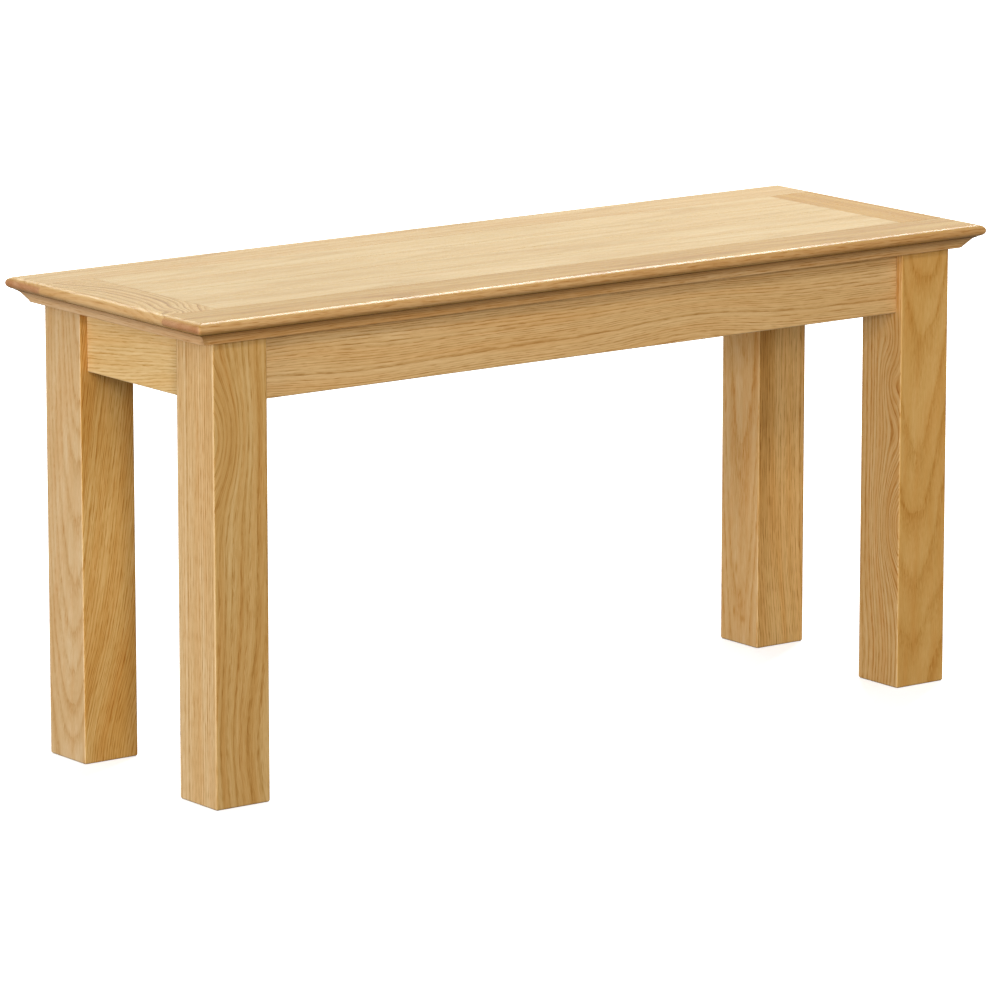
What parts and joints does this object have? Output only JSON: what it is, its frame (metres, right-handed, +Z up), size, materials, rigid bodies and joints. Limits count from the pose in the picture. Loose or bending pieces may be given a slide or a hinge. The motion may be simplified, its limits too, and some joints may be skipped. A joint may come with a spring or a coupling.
{
  "type": "backless bench",
  "caption": "Low backless wooden bench with a framed flush-panel seat, a rounded moulded edge, plain aprons and square legs.",
  "frame": {"origin": "on the floor under the middle of the bench", "axes": "+X along the bench's length towards its right end, +Y from front to back, +Z up"},
  "size_m": [0.936, 0.325, 0.46],
  "materials": {
    "oak_legs": "clear satin lacquer on straight-grained oak",
    "oak_aprons": "clear satin lacquer on plain-sawn oak",
    "oak_panel": "clear satin lacquer on pale oak staves",
    "oak_moulding": "clear satin lacquer on moulded oak",
    "oak_rails": "clear satin lacquer on oak rails",
    "inner_oak": "planed oak, not lacquered",
    "screw_steel": "zinc-plated steel"
  },
  "bodies": {
    "root": {"apron_back": "oak_aprons", "apron_front": "oak_aprons", "apron_left": "oak_aprons", "apron_right": "oak_aprons", "bearer_screws": "screw_steel", "corner_block_back_left": "inner_oak", "corner_block_back_right": "inner_oak", "corner_block_front_left": "inner_oak", "corner_block_front_right": "inner_oak", "corner_block_screws": "screw_steel", "cove_moulding_back": "oak_moulding", "cove_moulding_front": "oak_moulding", "cove_moulding_left": "oak_moulding", "cove_moulding_right": "oak_moulding", "cross_bearer_1": "inner_oak", "cross_bearer_2": "inner_oak", "cross_bearer_3": "inner_oak", "end_rail_left": "oak_rails", "end_rail_right": "oak_rails", "leg_back_left": "oak_legs", "leg_back_right": "oak_legs", "leg_front_left": "oak_legs", "leg_front_right": "oak_legs", "panel_stave_1": "oak_panel", "panel_stave_2": "oak_panel", "panel_stave_3": "oak_panel", "panel_stave_4": "oak_panel", "top_rail_back": "oak_rails", "top_rail_front": "oak_rails"}
  },
  "joints": []
}
